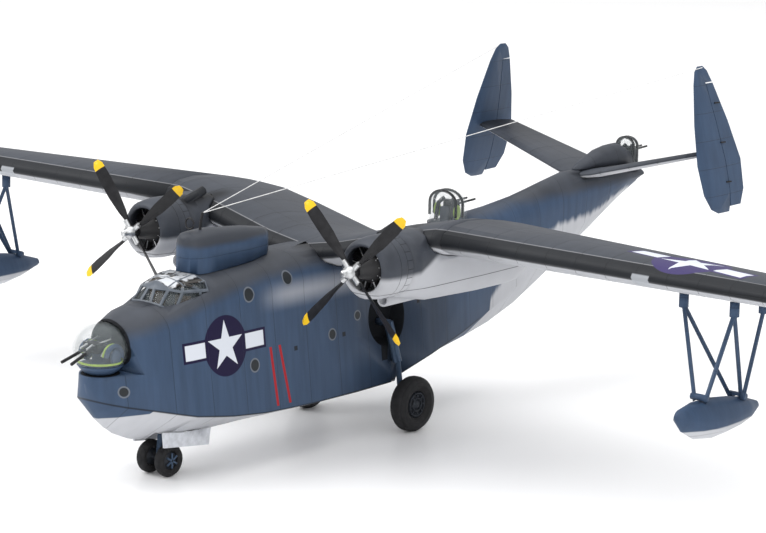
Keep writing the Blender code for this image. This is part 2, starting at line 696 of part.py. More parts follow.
def make_tail():
    tailplane_solid("tailplane", finish="deck_grey")
    rings = []
    for row in table_rows(FAIRING_COLUMNS, FAIRING_SECTIONS):
        half, foot, rise = row["half"], row["foot"], row["top"] - row["foot"]
        arc = [i / 8 * math.pi for i in range(9)]
        rings.append([place(half * math.cos(a), row["y"], foot + rise * math.sin(a)) for a in arc])
    hump = loft("tail_fairing", rings, "deck_grey")
    cut(hump, tailplane_solid("tailplane cutter", GAP), turret_seat(TAIL_TURRET_Y, 70.0, TAIL_TURRET_RADIUS))
    inner = [row[0] for row in FIN_SECTIONS if RUDDER_BOTTOM < row[0] < RUDDER_TOP]
    heights = [RUDDER_BOTTOM] + inner + [RUDDER_TOP]
    for label, side in SIDES.items():
        fin = loft(f"fin_{label}", [fin_ring(fin_at(row[0]), side, 0.0) for row in FIN_SECTIONS], "sea_blue")
        loft(f"rudder_{label}", [fin_ring(fin_at(up), side, RUDDER_HINGE) for up in heights], "sea_blue")
        rings = []
        for up in [RUDDER_BOTTOM - 4.0] + inner + [RUDDER_TOP + 0.4]:
            row = fin_at(max(up, FIN_SECTIONS[0][0]))
            hinge = row["lead"] + (row["trail"] - row["lead"]) * RUDDER_HINGE - 0.35
            corners = ((hinge, 3.0), (330.0, 3.0), (330.0, -3.0), (hinge, -3.0))
            rings.append([fin_point(side, up, out, y) for y, out in corners])
        cut(fin, loft("rudder cutter", rings))


# Engines and propellers


def nacelle_ring(row, side):
    ring = []
    for i in range(NACELLE_POINTS):
        angle = i / NACELLE_POINTS * math.tau
        across = math.copysign(abs(math.cos(angle)) ** (2 / row["power"]), math.cos(angle))
        rise = abs(math.sin(angle)) ** (2 / row["power"])
        depth = row["above"] if math.sin(angle) > 0 else -row["below"]
        level = depth * rise if row["above"] > 0 else row["above"] + (depth - row["above"]) * rise
        ring.append(place(side * (ENGINE_X + row["half"] * across), row["y"], ENGINE_Z + level))
    return ring


def make_nacelle(label, side):
    """The nacelle under the wing, with its oil cooler below and its exhaust stacks on top."""
    nacelle = loft(
        f"nacelle_{label}",
        [nacelle_ring(row, side) for row in table_rows(NACELLE_COLUMNS, NACELLE_SECTIONS)],
        "deck_grey",
    )
    cooler_x = side * (ENGINE_X - 3.0)
    cooler = cylinder("cooler", (cooler_x, 101.8, 60.5), (cooler_x, 121.0, 60.0), 2.4, end_radius=1.8)
    cut(cooler, cylinder("mouth", (cooler_x, 101.0, 60.6), (cooler_x, 106.0, 60.4), 1.8))
    combine(nacelle, cooler, "UNION")
    stack_x = side * (ENGINE_X - 5.4)
    stack = cylinder("stack", (stack_x, 102.6, 83.0), (stack_x, 113.0, 86.2), 1.7)
    cut(stack, cylinder("bore", (stack_x, 109.0, 84.9), (stack_x, 116.0, 87.2), 1.1))
    combine(nacelle, stack, "UNION")
    cut(nacelle, wing_solid("wing cutter", CENTRE_WING_SECTIONS, (PORT, STARBOARD), grow=GAP))


def make_engine(label, side):
    """Crankcase, gearbox nose and a ring of cylinders."""
    x, z = side * ENGINE_X, ENGINE_Z
    pieces = [
        cylinder("case", (x, 90.6, z), (x, 101.1, z), 5.0, "metal", sides=18),
        cylinder("gearbox", (x, 83.0, z), (x, 91.0, z), 2.6, end_radius=4.2, sides=18),
    ]
    for i in range(CYLINDERS):
        angle = i / CYLINDERS * math.tau
        foot, head = [(x + math.cos(angle) * r, 93.6, z + math.sin(angle) * r) for r in (3.5, 9.4)]
        pieces.append(cylinder("cylinder", foot, head, 1.45, sides=8))
    join(f"engine_{label}", pieces)


def blade_ring(row):
    """A slice across a blade, in the propeller's own frame."""
    pitch = math.radians(row["pitch"])
    ring = []
    for u, v in ((-0.5, 0), (-0.2, 0.5), (0.2, 0.45), (0.5, 0), (0.2, -0.35), (-0.2, -0.35)):
        across, through = u * row["chord"], v * row["thick"]
        turned_across = across * math.cos(pitch) - through * math.sin(pitch)
        turned_through = across * math.sin(pitch) + through * math.cos(pitch)
        ring.append(Vector((turned_across, turned_through, row["radius"])) * MM)
    return ring


def make_propeller(label, side):
    """Four paddle blades on a boss, and a bright hub in front of it."""
    centre = (side * ENGINE_X, PROPELLER_Y, ENGINE_Z)
    ends = [(centre[0], PROPELLER_Y + along, ENGINE_Z) for along in (-1.1, 1.3)]
    pieces = [cylinder("boss", *ends, 2.3, "black")]
    for i in range(BLADES):
        blade = loft("blade", [blade_ring(row) for row in table_rows(BLADE_COLUMNS, BLADE_SECTIONS)])
        turn = Matrix.Rotation(i * math.tau / BLADES + BLADE_ANGLE[label], 4, "Y")
        blade.matrix_world = Matrix.Translation(place(*centre)) @ turn
        pieces.append(blade)
    propeller = join(f"propeller_{label}", pieces)
    profile = [(0, -5.6), (1.0, -5.6), (1.4, -4.8), (1.5, -3.4), (2.2, -3.0), (2.3, -1.4), (0, -1.4)]
    hub = turned(f"propeller_hub_{label}", profile, centre, (0, 1, 0), "metal", steps=16)
    hang_on_axis(f"propeller_axis_{label}", centre, [propeller, hub])


def make_engines():
    for label, side in SIDES.items():
        centre = (side * ENGINE_X, PROPELLER_Y, ENGINE_Z)
        make_nacelle(label, side)
        turned(f"cowling_{label}", COWLING_PROFILE, centre, (0, 1, 0), "deck_grey", steps=28)
        make_engine(label, side)
        make_propeller(label, side)


# Floats


def float_solid(name, side, grow=0.0, finish=None):
    rings = []
    for row in table_rows(FLOAT_COLUMNS, FLOAT_SECTIONS):
        half, chine, top = row["half"] + grow, row["chine"], row["top"] + grow
        shape = [(0.3, row["keel"] - grow), (half, chine)]
        for i in range(1, 5):
            angle = i / 5 * math.pi / 2
            shape.append((half * math.cos(angle), chine + (top - chine) * math.sin(angle)))
        shape.append((0.0, top))
        shape += [(-x, z) for x, z in reversed(shape[:-1])]
        rings.append([place(side * FLOAT_X + x, row["y"], z) for x, z in shape])
    return loft(name, rings, finish)


def make_floats():
    """Wing-tip floats, each on five struts from three fittings under the wing."""
    for label, side in SIDES.items():
        float_solid(f"float_{label}", side, finish="sea_blue")
        pieces = []
        for top, foot, stand_out in STRUTS:
            x, y, z = STRUT_TOPS[top]
            foot_y, foot_z = STRUT_FEET[foot]
            ends = (side * x, y, z + 1.0), (side * (FLOAT_X + stand_out), foot_y, foot_z - 2.0)
            pieces.append(cylinder("strut", *ends, STRUT_RADIUS, "sea_blue", sides=8))
        for x, y, z in STRUT_TOPS.values():
            pieces.append(cylinder("fitting", (side * x, y, z), (side * x, y, z + 7.0), 1.7, sides=10))
        for foot_y, foot_z in STRUT_FEET.values():
            ends = [(side * FLOAT_X + across, foot_y, foot_z + 1.0) for across in (-3.2, 3.2)]
            pieces.append(cylinder("foot bar", *ends, 1.2, sides=8))
        struts = join(f"float_struts_{label}", pieces)
        wing = wing_solid("wing cutter", OUTER_WING_SECTIONS, (side,), grow=GAP)
        cut(struts, float_solid("float cutter", side, GAP), wing)


# Wheels


def tyre_profile(radius, width, bore):
    """The cross-section of a fat tyre, as (radius, distance along the axle)."""
    half, wall = width / 2, radius - bore
    side = [
        (bore, half * 0.62),
        (bore + wall * 0.35, half),
        (bore + wall * 0.75, half * 0.92),
        (radius - wall * 0.05, half * 0.55),
        (radius, half * 0.25),
    ]
    return side + [(r, -a) for r, a in reversed(side)]


def make_tyre(name, centre, radius, width, bore, steps):
    return turned(name, tyre_profile(radius, width, bore), centre, (1, 0, 0), "rubber", steps=steps)


def make_main_gear(label, side):
    """A main wheel, and the oleo leg that comes out of the side of the hull."""
    centre = (side * MAIN_WHEEL_X, MAIN_WHEEL_Y, MAIN_WHEEL_RADIUS)
    tyre = make_tyre(f"main_tyre_{label}", centre, MAIN_WHEEL_RADIUS, MAIN_TYRE_WIDTH, MAIN_BORE, 36)
    outer = [(0, 2.4), (1.2, 2.4), (1.6, 1.6), (4.0, 1.4), (4.9, 2.2)]
    profile = outer + [(r, -a) for r, a in reversed(outer)]
    wheel = turned(f"main_wheel_{label}", profile, centre, (side, 0, 0), "black")
    hang_on_axis(f"main_wheel_axis_{label}", centre, [tyre, wheel])
    bend = (side * 20.0, 147.5, 26.0)
    low = (side * 20.4, MAIN_WHEEL_Y, MAIN_WHEEL_RADIUS)
    pivot = [(side * x, 145.5, 40.4) for x in (WHEEL_WELL_FLOOR + GAP, 17.4)]
    axle = [(side * x, MAIN_WHEEL_Y, MAIN_WHEEL_RADIUS) for x in (19.6, 22.8)]
    pieces = [
        cylinder("upper leg", (side * 17.0, 145.5, 41.0), bend, 1.8, "sea_blue", sides=12),
        cylinder("lower leg", (bend[0], bend[1], bend[2] + 1.5), low, 1.1, sides=12),
        cylinder("pivot", *pivot, 1.5, sides=12),
        cylinder("axle", *axle, 0.9, sides=12),
    ]
    join(f"main_gear_leg_{label}", pieces)


def make_nose_gear():
    centre = (0, NOSE_WHEEL_Y, NOSE_WHEEL_RADIUS)
    axle_ends = [(x, NOSE_WHEEL_Y, NOSE_WHEEL_RADIUS) for x in (-6.0, 6.0)]
    wheels = [cylinder("axle", *axle_ends, 0.8, "black")]
    tyres = []
    for label, side in SIDES.items():
        x = side * NOSE_WHEEL_X
        tyre_centre = (x, NOSE_WHEEL_Y, NOSE_WHEEL_RADIUS)
        tyre = make_tyre(
            f"nose_tyre_{label}", tyre_centre, NOSE_WHEEL_RADIUS, NOSE_TYRE_WIDTH, NOSE_BORE, 28
        )
        tyres.append(tyre)
        ends = [(x + across, NOSE_WHEEL_Y, NOSE_WHEEL_RADIUS) for across in (-1.0, 1.0)]
        wheels.append(cylinder("disc", *ends, NOSE_BORE - GAP, sides=20))
        faces = [[place(side * x, y, z) for y, z in DOOR_CORNERS] for x in (DOOR_INNER_X, DOOR_OUTER_X)]
        door = loft(f"nose_gear_door_{label}", faces, "belly_white")
        cut(door, hull_solid("hull cutter", 2 * GAP))
    hang_on_axis("nose_wheel_axis", centre, [join("nose_wheels", wheels)] + tyres)
    cylinder("nose_gear_leg", (0, 43.0, 25.7), (0, NOSE_WHEEL_Y, 7.4), 1.3, "black", sides=12)


def main():
    make_hull()
    make_canopy()
    make_radome()
    make_bow_turret()
    top = (TOP_TURRET_Y, TOP_TURRET_Z, TOP_TURRET_RADIUS, TOP_TURRET_TOP)
    tail = (TAIL_TURRET_Y, TAIL_TURRET_Z, TAIL_TURRET_RADIUS, TAIL_TURRET_TOP)
    make_drum_turret("top_turret", *top, TOP_GUN_REACH)
    make_drum_turret("tail_turret", *tail, TAIL_GUN_REACH)
    make_wings()
    make_tail()
    make_engines()
    make_floats()
    for label, side in SIDES.items():
        make_main_gear(label, side)
    make_nose_gear()


clear_scene()
parts = collection("flying_boat")
main()
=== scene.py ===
"""Looks of a twin-engined flying boat as a painted plastic scale model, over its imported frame."""
import json
import math

import bpy
from mathutils import Matrix, Vector

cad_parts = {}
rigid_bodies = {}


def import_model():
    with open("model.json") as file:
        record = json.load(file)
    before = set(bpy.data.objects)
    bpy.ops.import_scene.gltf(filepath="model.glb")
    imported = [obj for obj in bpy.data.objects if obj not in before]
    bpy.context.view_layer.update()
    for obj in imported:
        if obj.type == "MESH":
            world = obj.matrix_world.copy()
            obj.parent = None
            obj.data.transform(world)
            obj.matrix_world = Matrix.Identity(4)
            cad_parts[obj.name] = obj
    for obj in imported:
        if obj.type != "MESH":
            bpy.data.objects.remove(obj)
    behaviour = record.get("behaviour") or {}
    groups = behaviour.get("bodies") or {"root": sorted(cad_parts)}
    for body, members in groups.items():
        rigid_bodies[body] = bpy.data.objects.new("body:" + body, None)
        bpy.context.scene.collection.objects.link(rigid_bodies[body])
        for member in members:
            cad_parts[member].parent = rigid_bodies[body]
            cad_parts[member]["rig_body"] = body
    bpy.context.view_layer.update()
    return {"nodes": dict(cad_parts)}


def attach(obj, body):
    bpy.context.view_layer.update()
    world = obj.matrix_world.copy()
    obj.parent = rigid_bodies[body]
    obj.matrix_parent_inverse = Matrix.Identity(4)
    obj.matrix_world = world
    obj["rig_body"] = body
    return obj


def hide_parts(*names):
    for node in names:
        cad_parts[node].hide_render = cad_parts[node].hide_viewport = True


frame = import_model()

bl_info = {
    "name": "Flying Boat Display Model",
    "version": (1, 0, 0),
    "blender": (4, 5, 0),
    "location": "3D View > Sidebar > Flying Boat",
    "description": "Paints and details a display model of a twin-engined flying boat",
    "category": "Object",
}

# Places are in millimetres: x to port, y aft from the bow datum and z up from the floor.
MM = 0.001
MIDDLE_Y = 165.3  # from the bow datum to the middle of the model
SIDES = {"left": 1, "right": -1}
HUB_X, HUB_Y, HUB_Z = 52.4, 81.4, 73.9
WHEEL_X, WHEEL_Y, WHEEL_Z = 25.6, 150.0, 10.4
NOSE_WHEEL_Y, NOSE_WHEEL_Z = 41.0, 5.9
WHEEL_BOLTS, NOSE_SPOKES = 8, 6
WELL_Y, WELL_Z = 144.5, 43.0
BOW_TURRET_Y = 11.6
TOP_TURRET_Y = 201.0
TAIL_TURRET_Y = 322.8
BLADES, CYLINDERS = 4, 9
FIRST_BLADE = {"left": 46.0, "right": 51.0}  # degrees from upright
LEADING_EDGE = 111.6  # y of the wing's leading edge
FIN_X, FIN_Z = 57.0, 92.0
MAST_Y, MAST_TOP = 62.0, 90.2
SHINY, MATT = 0.5, 0.22  # reflection of glass and metal, and of paint
ACROSS, ALONG, UPRIGHT = (1, 0, 0), (0, 1, 0), (0, 0, 1)
STAR_SHARE, STAR_DIP, STAR_RISE = 0.85, 0.2245, 0.691  # a five-pointed star's edge


# Shader maths


class Socket:
    """A value in a material, which adds its Math nodes as it is written in a formula."""

    def __init__(self, paint, link):
        self.paint, self.link = paint, link

    def maths(self, operation, *others):
        values = [self.link] + [o.link if isinstance(o, Socket) else o for o in others]
        return self.paint.node("ShaderNodeMath", {"operation": operation}, dict(enumerate(values)))

    def reflected(self, operation, other):
        return self.paint.node("ShaderNodeMath", {"operation": operation}, {0: other, 1: self.link})

    def __add__(self, other):
        return self.maths("ADD", other)

    def __sub__(self, other):
        return self.maths("SUBTRACT", other)

    def __mul__(self, other):
        return self.maths("MULTIPLY", other)

    def __rsub__(self, other):
        return self.reflected("SUBTRACT", other)

    def __neg__(self):
        return self.maths("MULTIPLY", -1.0)

    def __abs__(self):
        return self.maths("ABSOLUTE")

    __radd__ = __add__
    __rmul__ = __mul__

    def most(self, other):
        return self.maths("MAXIMUM", other)

    def least(self, other):
        return self.maths("MINIMUM", other)

    def above(self, edge, soft=0.1):
        """1 past an edge and 0 before it, over a soft band."""
        values = {0: self.link, 1: edge - soft, 2: edge + soft}
        return self.paint.node("ShaderNodeMapRange", {"interpolation_type": "SMOOTHSTEP"}, values)

    def below(self, edge, soft=0.1):
        return 1.0 - self.above(edge, soft)

    def line(self, centre, half, soft=0.08):
        return abs(self - centre).below(half, soft)


class Paint:
    """One painted finish, read from where a point lies on the model, in millimetres."""

    def __init__(self, name):
        self.material = bpy.data.materials.new(name)
        self.material.use_nodes = True
        self.tree = self.material.node_tree
        self.shader = self.tree.nodes["Principled BSDF"]
        where = self.node("ShaderNodeTexCoord", {}, {}, "Object")
        parts = self.tree.nodes.new("ShaderNodeSeparateXYZ")
        self.tree.links.new(where.link, parts.inputs[0])
        self.x = Socket(self, parts.outputs[0]) * 1000.0
        self.y = Socket(self, parts.outputs[1]) * 1000.0 + MIDDLE_Y
        self.z = Socket(self, parts.outputs[2]) * 1000.0
        facing = self.node("ShaderNodeNewGeometry", {}, {}, "Normal")
        turned = self.tree.nodes.new("ShaderNodeSeparateXYZ")
        self.tree.links.new(facing.link, turned.inputs[0])
        self.up = Socket(self, turned.outputs[2])

    def node(self, kind, settings, values, output=0):
        made = self.tree.nodes.new(kind)
        for key, value in settings.items():
            setattr(made, key, value)
        for key, value in values.items():
            value = value.link if isinstance(value, Socket) else value
            if isinstance(value, bpy.types.NodeSocket):
                self.tree.links.new(value, made.inputs[key])
            else:
                made.inputs[key].default_value = value
        return Socket(self, made.outputs[output])

    def noise(self, scale, stretch=(1.0, 1.0, 1.0)):
        """Uneven patches, from 0 to 1, of a size in millimetres along each axis."""
        axes = zip((self.x, self.y, self.z), stretch)
        shares = {i: axis * (1.0 / size) for i, (axis, size) in enumerate(axes)}
        vector = self.node("ShaderNodeCombineXYZ", {}, shares)
        values = {"Vector": vector, "Scale": 1.0 / scale, "Detail": 3.0}
        return self.node("ShaderNodeTexNoise", {"normalize": True}, values)

    def follow(self, value, points):
        """A level that runs straight from point to point."""
        level = points[0][1]
        for (start, low), (end, high) in zip(points, points[1:]):
            values = {0: value, 1: start, 2: end, 3: 0.0, 4: high - low}
            level = self.node("ShaderNodeMapRange", {}, values) + level
        return level

    def mix(self, share, first, second):
        first, second = (c if isinstance(c, Socket) else (*c, 1.0) for c in (first, second))
        return self.node("ShaderNodeMix", {"data_type": "RGBA"}, {0: share, 6: first, 7: second}, 2)

    def shade(self, colour, share, amount):
        """Darkens a colour by an amount where the share is 1."""
        return self.mix(share * amount, colour, (0.006, 0.007, 0.009))

    def finish(self, colour, rough, height=None, depth=0.15, **fixed):
        """Joins colour, roughness and height to the shader: fixed values hold all over."""
        for name, value in {"Base Color": colour, "Roughness": rough}.items():
            if isinstance(value, Socket):
                self.tree.links.new(value.link, self.shader.inputs[name])
            else:
                self.shader.inputs[name].default_value = (*value, 1.0) if isinstance(value, tuple) else value
        self.shader.inputs["Specular IOR Level"].default_value = SHINY if fixed else MATT
        for name, value in fixed.items():
            self.shader.inputs[name.replace("_", " ")].default_value = value
        if height is not None:
            values = {"Height": height, "Strength": 0.6, "Distance": depth * MM}
            bump = self.node("ShaderNodeBump", {}, values)
            self.tree.links.new(bump.link, self.shader.inputs["Normal"])
        return self.material


def insignia(paint, colour, u, v, size, where, blue):
    """A white star on a round blue field with white side bars: v points to the star's tip."""
    reach = (u * u + v * v).maths("SQRT")
    fold = u.maths("ARCTAN2", v).maths("PINGPONG", math.pi / 5)
    inward, outward = STAR_DIP * reach * fold.maths("COSINE"), STAR_RISE * reach * fold.maths("SINE")
    edge = inward + outward - STAR_DIP * STAR_SHARE * size
    star = edge.below(0.0, 0.04)
    beside = abs(u).above(size * 0.95, 0.12) * abs(u).below(size * 1.84, 0.12)
    bars = beside * abs(v).below(size * 0.25, 0.12)
    edging = abs(u).below(size * 1.94, 0.12) * abs(v).below(size * 0.34, 0.12)
    field = reach.below(size, 0.15).most(edging)
    colour = paint.mix(field * where, colour, blue)
    return paint.mix(star.most(bars) * where, colour, (0.62, 0.65, 0.71))


# Finishes


def settings():
    return bpy.context.scene.flying_boat


def tone(colour, strength):
    return tuple(part * strength for part in colour)


# Edges of the hull's paints as (y, z), and its portholes as (y, z, radius)
CHINE = (
    (4.6, 33.2), (7.0, 32.4), (13.5, 30.6), (25.0, 27.9), (40.0, 24.1), (58.0, 21.2), (75.0, 19.4),
    (100.0, 18.4), (149.0, 18.6), (150.0, 20.6), (172.0, 24.0), (196.0, 28.6), (213.0, 33.0),
)
DECK_EDGE = (
    (8.0, 53.0), (33.0, 57.6), (52.0, 62.0), (75.0, 65.5), (100.0, 67.0), (150.0, 66.0),
    (205.0, 69.7), (237.0, 72.0), (306.0, 72.7),
)
BOOM_EDGE = (
    (212.0, 18.0), (216.5, 38.7), (225.0, 44.3), (245.0, 54.0), (265.0, 60.5), (293.0, 62.5),
    (314.0, 69.0),
)
BLUE_BOW = ((3.0, 25.4), (14.0, 26.4), (22.0, 27.4), (23.0, 30.0))
PORTHOLES = (
    (70.1, 62.0, 2.5), (91.0, 64.9, 2.4), (70.4, 37.1, 2.3), (112.9, 41.4, 2.0), (127.6, 46.1, 1.7),
    (13.0, 36.0, 1.8),
)


def hull_finish():
    s, p = settings(), Paint("hull paint")
    streak, patch = p.noise(3.0, (3.0, 1.0, 9.0)), p.noise(14.0)
    blue = p.mix(streak, tone(s.sea_blue, 0.7), tone(s.sea_blue, 1.35))
    deck = p.mix(patch, tone(s.deck_grey, 0.55), tone(s.deck_grey, 1.8))
    white = p.mix(streak, tone(s.belly_white, 0.84), s.belly_white)
    shoulder = p.z - p.follow(p.y, DECK_EDGE) + patch * 2.4 - 1.2
    colour = p.mix(shoulder.above(0.0, 2.6), blue, deck)
    # Painted shade: the hull's sides from under the wing to behind it are darkened.
    shade = p.y.above(128.0, 22.0) * p.y.below(190.0, 16.0)
    colour = p.shade(colour, shade, 0.45)
    chine = p.follow(p.y, CHINE)
    bottom = (p.z - chine.least(p.follow(p.y, BLUE_BOW))).below(0.0, 0.25) * p.y.below(166.0, 3.0)
    boom = p.y.above(212.0, 0.5) * (p.z - p.follow(p.y, BOOM_EDGE) - streak * 5.0 + 2.5).below(0.0, 1.6)
    colour = p.mix(bottom.most(boom), colour, white)
    gull = p.y.line(128.0, 46.0, 10.0) * p.z.line(59.5, 3.0, 3.4) * abs(p.x).above(9.0, 1.0)
    colour = p.mix(gull * 0.55, colour, white)
    frames = (p.y + 3.0).maths("PINGPONG", 8.5).below(0.13, 0.06)
    colour = p.shade(colour, frames, 0.45)
    keel_line = (p.z - chine).line(0.1, 0.32, 0.18) * p.y.below(208.0, 2.0)
    colour = p.shade(colour, keel_line, 0.75)
    on_side = abs(p.x).above(8.0, 1.0)
    colour = insignia(p, colour, p.y - 56.4, p.z - 46.2, 10.6, on_side, s.insignia_blue)
    for station, lean in ((80.1, -0.085), (85.8, -0.166)):
        mark = (p.y - (p.z - 31.5) * lean).line(station, 0.62, 0.1) * p.z.line(31.5, 10.6) * on_side
        colour = p.mix(mark, colour, (0.33, 0.012, 0.018))
    pits = None
    for y, z, size in PORTHOLES:
        reach = ((p.y - y) * (p.y - y) + (p.z - z) * (p.z - z)).maths("SQRT")
        colour = p.mix(reach.line(size, 0.25) * on_side, colour, (0.13, 0.145, 0.17))
        pane = reach.below(size - 0.3, 0.12) * on_side
        colour = p.mix(pane, colour, (0.02, 0.023, 0.026))
        pits = pane if pits is None else pits.most(pane)
    for y, z in ((119.3, 40.5), (92.6, 39.6), (165.4, 45.7)):
        colour = p.shade(colour, p.y.line(y, 0.9) * p.z.line(z, 0.8) * on_side, 0.9)
    run, rise = p.y - WELL_Y, p.z - WELL_Z
    well = (run * run + rise * rise).maths("SQRT").below(10.95, 0.1)
    slot = p.y.line(143.0, 3.0) * p.z.line(30.5, 3.2)
    nose_well = abs(p.x).below(5.8, 0.05) * p.y.line(44.5, 11.8) * p.z.below(27.0)
    run, rise = p.y - BOW_TURRET_Y, p.z - 49.6
    mouth = (p.x * p.x + run * run + rise * rise).maths("SQRT").below(10.7, 0.15)
    # Painted shade: the main wheel wells, the slot above each main leg, the nose wheel well and the inside of
    # the bow turret's opening are darkened almost to black and made rougher, for the shade inside these
    # recesses.
    dark = well.most(slot).most(nose_well).most(mouth)
    colour = p.shade(colour, dark, 0.97)
    return p.finish(colour, 0.42 + patch * 0.12 + dark * 0.4, 1.0 - frames * 0.4 - pits)


def wing_finish():
    s, p = settings(), Paint("wing paint")
    patch, streak = p.noise(16.0), p.noise(2.6, (1.0, 8.0, 1.0))
    weather = patch * 0.6 + streak * 0.4
    deck = p.mix(weather, tone(s.deck_grey, 0.6), tone(s.deck_grey, 1.75))
    white = p.mix(streak, tone(s.belly_white, 0.84), s.belly_white)
    colour = p.mix(p.up.above(-0.3, 0.16), white, deck)
    nose = (p.y - LEADING_EDGE).below(4.4, 0.25) * p.y.above(90.0, 1.0)
    colour = p.shade(colour, nose * p.up.above(-0.5, 0.1), 0.86)
    # Painted highlight: a thin light line along the top edge of the dark band on the wing's leading edge.
    lit = (p.y - LEADING_EDGE).line(4.7, 0.22) * p.up.above(0.2, 0.1)
    colour = p.mix(lit * 0.5, colour, (0.3, 0.3, 0.31))
    ribs = abs(p.x).maths("PINGPONG", 6.2).below(0.12, 0.06)
    spars = (p.y - 111.0).maths("PINGPONG", 9.5).below(0.12, 0.06)
    lines = ribs.most(spars)
    colour = p.shade(colour, lines, 0.6)
    top = p.up.above(0.2, 0.1) * p.x.above(100.0, 1.0)
    run, rise = p.x - 161.0, p.y - 126.9
    sweep, square = 0.172, 0.985
    u, v = run * square - rise * sweep, -(run * sweep + rise * square)
    colour = insignia(p, colour, u, v, 13.4, top, (0.045, 0.034, 0.12))
    soot = (abs(p.x) - 47.0).line(0.0, 2.6, 2.6) * p.y.line(118.0, 9.0, 7.0) * p.up.above(0.2, 0.1)
    colour = p.shade(colour, soot, 0.85)
    lamp = (abs(p.x) - 150.8).line(0.0, 3.4, 0.2) * p.y.below(114.6, 0.3)
    lamp = lamp * p.z.line(80.2, 2.6, 0.3)
    colour = p.mix(lamp * 0.8, colour, (0.4, 0.42, 0.45))
    return p.finish(colour, 0.45 + patch * 0.15, 1.0 - lines * 0.7)


def nacelle_finish():
    s, p = settings(), Paint("nacelle paint")
    patch = p.noise(9.0)
    deck = p.mix(patch, tone(s.deck_grey, 0.6), tone(s.deck_grey, 1.8))
    white = p.mix(patch, tone(s.belly_white, 0.86), s.belly_white)
    edge = p.z - 72.0 - (p.y - 106.0).most(0.0) * 0.5 + patch * 1.2
    colour = p.mix(edge.above(0.0, 1.3), white, deck)
    across, rise = abs(p.x) - HUB_X, p.z - HUB_Z
    round_the_cowl = rise.maths("ARCTAN2", across).maths("PINGPONG", 0.14)
    flaps = p.y.line(99.6, 1.5) * round_the_cowl.below(0.012, 0.008)
    rings = p.y.line(94.4, 0.14, 0.07).most(p.y.line(98.0, 0.14, 0.07))
    seams = rings.most(p.z.line(65.3, 0.14, 0.07))
    lines = flaps.most(seams)
    colour = p.shade(colour, lines, 0.75)
    soot = (across + 5.4).line(0.0, 2.6, 2.2) * rise.above(6.0, 1.0)
    colour = p.shade(colour, soot * p.y.above(101.0, 1.0), 0.85)
    return p.finish(colour, 0.4 + patch * 0.15, 1.0 - lines * 0.8)


def blue_finish(name, white_below=None, deck_above=None):
    """Streaked blue paint, white below one height and dark above another where they are given."""
    s, p = settings(), Paint(name)
    streak, patch = p.noise(2.4, (2.0, 1.0, 7.0)), p.noise(11.0)
    weather = streak * 0.6 + patch * 0.4
    colour = p.mix(weather, tone(s.sea_blue, 0.66), tone(s.sea_blue, 1.45))
    if white_below is not None:
        colour = p.mix((p.z - white_below).below(0.0, 0.3), colour, s.belly_white)
    if deck_above is not None:
        dark = (p.z - deck_above + patch * 2.0).above(0.0, 1.3)
        colour = p.mix(dark, colour, s.deck_grey)
    ribs = p.z.maths("PINGPONG", 5.4).below(0.13, 0.06)
    colour = p.shade(colour, ribs, 0.35)
    return p.finish(colour, 0.42 + patch * 0.12, 1.0 - ribs * 0.6)


def dark_finish():
    s, p = settings(), Paint("deck paint")
    patch = p.noise(7.0)
    colour = p.mix(patch, tone(s.deck_grey, 0.6), tone(s.deck_grey, 1.7))
    lines = p.y.maths("PINGPONG", 7.0).below(0.12, 0.06)
    return p.finish(p.shade(colour, lines, 0.5), 0.42 + patch * 0.15, 1.0 - lines)


def plain_finish(name, colour, rough, metallic=None, grain=2.0):
    p = Paint(name)
    patch = p.noise(grain)
    tint = p.mix(patch, tone(colour, 0.65), tone(colour, 1.35))
    fixed = {"Metallic": metallic} if metallic else {}
    return p.finish(tint, rough + patch * 0.12, patch, 0.05, **fixed)


def blade_finish():
    s, p = settings(), Paint("propeller paint")
    across, rise = abs(p.x) - HUB_X, p.z - HUB_Z
    reach = (across * across + rise * rise).maths("SQRT")
    patch = p.noise(3.0)
    black = p.mix(patch, (0.004, 0.004, 0.005), (0.022, 0.022, 0.025))
    colour = p.mix(reach.above(27.4, 0.15), black, s.tip_yellow)
    return p.finish(colour, 0.34 + patch * 0.1, patch, 0.04)


def tyre_finish():
    p = Paint("tyre")
    patch = p.noise(2.2)
    rise, run = p.z - WHEEL_Z, p.y - WHEEL_Y
    reach = (rise * rise + run * run).maths("SQRT")
    rings = reach.maths("PINGPONG", 0.7).below(0.14, 0.08)
    colour = p.mix(patch, (0.006, 0.006, 0.007), (0.03, 0.03, 0.032))
    return p.finish(p.shade(colour, rings, 0.4), 0.66 + patch * 0.15, 1.0 - rings, 0.12)


def canopy_finish():
    p = Paint("canopy paint")
    patch = p.noise(3.2)
    frame_paint = p.mix(patch, (0.045, 0.055, 0.068), (0.13, 0.15, 0.18))
    # Painted shade and painted reflections: the roof panes are painted as dark glass, for the dim inside, with
    # random bright patches for glints of the room.
    gleam = p.noise(4.5).above(0.5, 0.05)
    pane_shade_and_glint = p.mix(gleam, (0.025, 0.022, 0.02), (0.55, 0.57, 0.6))
    lengthwise = abs(p.x).maths("PINGPONG", 2.6).below(0.28, 0.08)
    crosswise = (p.y - 43.6).maths("PINGPONG", 4.2).below(0.28, 0.08)
    bars = lengthwise.most(crosswise)
    roof = p.z.above(67.5, 0.1) * p.y.line(45.2, 6.2, 0.1) * (1.0 - bars)
    return p.finish(p.mix(roof, frame_paint, pane_shade_and_glint), 0.3 - roof * 0.2, patch, 0.03)


def clear_finish():
    p = Paint("clear plastic")
    p.material.surface_render_method = "BLENDED"
    smear = p.noise(4.0)
    return p.finish((0.30, 0.34, 0.36), 0.02 + smear * 0.05, Alpha=0.13, Coat_Weight=1.0)


def ready(name, make, *details):
    """A finish, made the first time that it is asked for."""
    return bpy.data.materials.get(name) or make(*details)


def black_fittings():
    return ready("black fittings", plain_finish, "black fittings", (0.012, 0.012, 0.014), 0.4)


